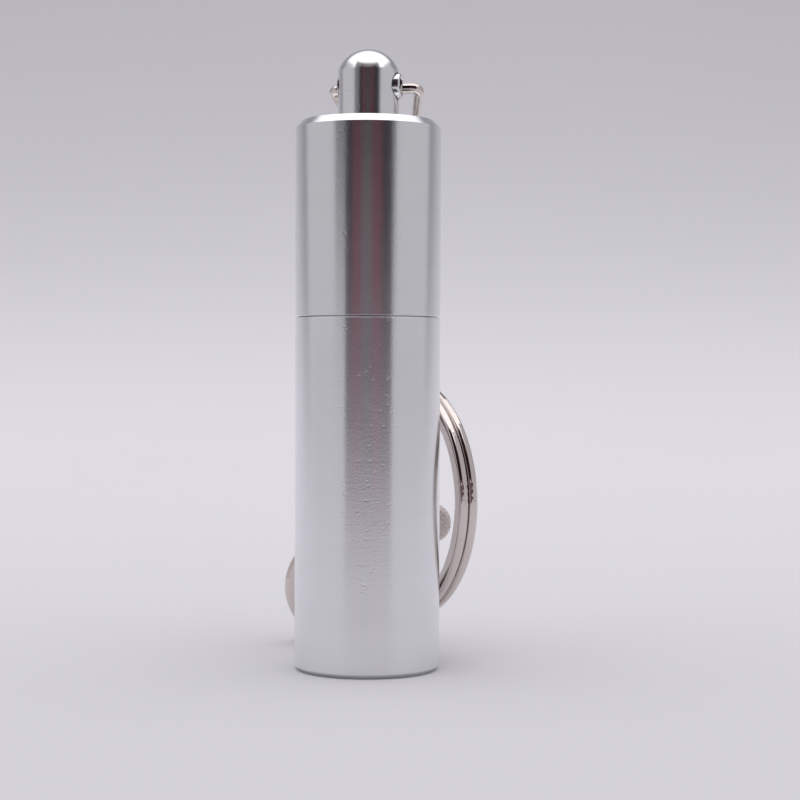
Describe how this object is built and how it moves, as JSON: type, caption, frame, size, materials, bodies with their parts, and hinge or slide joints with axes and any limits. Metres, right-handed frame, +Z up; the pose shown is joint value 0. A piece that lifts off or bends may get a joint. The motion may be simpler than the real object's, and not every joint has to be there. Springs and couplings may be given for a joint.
{
  "type": "keychain flashlight",
  "caption": "Slim metal twist flashlight standing on its head, with a screw-on tail cap, a bail, a short chain, a split key ring and a lobster clasp.",
  "frame": {"origin": "centre of the head's rim, on the plane that the flashlight stands on", "axes": "+Z up along the body's axis from the head to the tail, +X to the right, +Y to the back where the chain hangs"},
  "size_m": [0.0224, 0.0323, 0.0683],
  "materials": {
    "satin_aluminium": "fine turned, satin",
    "nickel_plate": "bright nickel plate, light scratches",
    "bright_aluminium": "bright",
    "spring_steel": "drawn wire",
    "brass": "turned",
    "lens_clear": "polished",
    "rubber_black": "matt",
    "reflector_silver": "metallised orange peel",
    "white_plastic": "matt",
    "board_white": "solder mask",
    "board_green": "solder mask",
    "chip_black": "moulded",
    "phosphor_yellow": "silicone",
    "sleeve_film": "printed film without text",
    "fibre_washer": "pressed fibre"
  },
  "bodies": {
    "barrel": {"barrel": "satin_aluminium", "joint_o_ring": "rubber_black", "bezel": "satin_aluminium", "lens_gasket": "rubber_black", "lens": "lens_clear", "reflector": "reflector_silver", "led_ring": "white_plastic", "led_board": "board_white", "led_package": "white_plastic", "led_dome": "phosphor_yellow", "module_shell": "brass", "driver_board": "board_green", "driver_parts": "chip_black", "positive_contact": "brass", "cell_can": "spring_steel", "cell_sleeve": "sleeve_film", "cell_washer": "fibre_washer", "cell_button": "spring_steel"},
    "spring_carrier": {"tail_spring": "spring_steel"},
    "cap": {"tail_cap": "satin_aluminium", "eyelet": "bright_aluminium", "spring_seat": "brass"},
    "bail": {"bail": "nickel_plate"},
    "link_1": {"chain_link_1": "nickel_plate"},
    "link_2": {"chain_link_2": "nickel_plate"},
    "link_3": {"chain_link_3": "nickel_plate"},
    "link_4": {"chain_link_4": "nickel_plate"},
    "ring": {"split_ring": "nickel_plate"},
    "clasp": {"clasp_body": "nickel_plate", "lever_pin": "nickel_plate", "lever_spring": "spring_steel"},
    "lever": {"lever": "nickel_plate"},
    "swivel": {"swivel_post": "nickel_plate"}
  },
  "joints": [
    {"name": "cap_lift", "type": "slide", "parent": "barrel", "child": "spring_carrier", "axis": [0, 0, 1], "range_m": [0, 0.005], "deforming": ["tail_spring"]},
    {"name": "cap_turn", "type": "hinge", "parent": "spring_carrier", "child": "cap", "pos_m": [0, 0, 0], "axis": [0, 0, 1], "range_deg": [0, 1800]},
    {"name": "bail_swing", "type": "hinge", "parent": "cap", "child": "bail", "pos_m": [0, 0, 0.06391], "axis": [0.9763, -0.2164, 0], "range_deg": [0, 221]},
    {"name": "link_1_swing", "type": "hinge", "parent": "bail", "child": "link_1", "pos_m": [0.00284, 0.01094, 0.05958], "axis": [0.976, -0.2171, 0.0188], "range_deg": [0, 60]},
    {"name": "link_2_swing", "type": "hinge", "parent": "link_1", "child": "link_2", "pos_m": [0.00306, 0.01121, 0.05205], "axis": [0.0473, -0.9984, -0.0293], "range_deg": [0, 40]},
    {"name": "link_3_swing", "type": "hinge", "parent": "link_2", "child": "link_3", "pos_m": [0.00326, 0.01144, 0.04454], "axis": [0.9516, 0.3054, 0.0341], "range_deg": [0, 50]},
    {"name": "link_4_swing", "type": "hinge", "parent": "link_3", "child": "link_4", "pos_m": [0.00345, 0.01167, 0.03703], "axis": [0.545, -0.8384, -0.0115], "range_deg": [0, 45]},
    {"name": "ring_swing", "type": "hinge", "parent": "link_4", "child": "ring", "pos_m": [0.00365, 0.0119, 0.02952], "axis": [0.8387, 0.5446, 0], "range_deg": [-10, 30]},
    {"name": "clasp_swing", "type": "hinge", "parent": "ring", "child": "clasp", "pos_m": [-0.00345, 0.0194, 0.00685], "axis": [-0.0608, -0.9972, -0.0432], "range_deg": [-20, 30]},
    {"name": "lever_press", "type": "hinge", "parent": "clasp", "child": "lever", "pos_m": [-0.00107, 0.01903, 0.01207], "axis": [-0.0608, -0.9972, -0.0432], "range_deg": [0, 22], "stiffness_Nm_per_rad": 0.003, "springref_deg": -17.19},
    {"name": "swivel_turn", "type": "hinge", "parent": "clasp", "child": "swivel", "pos_m": [0.00501, 0.01862, 0.01287], "axis": [0.8127, -0.0746, 0.5779], "continuous": true}
  ],
  "couplings": [
    {"joint": "cap_lift", "follows": "cap_turn", "m_per_rad": 0.00015915}
  ]
}
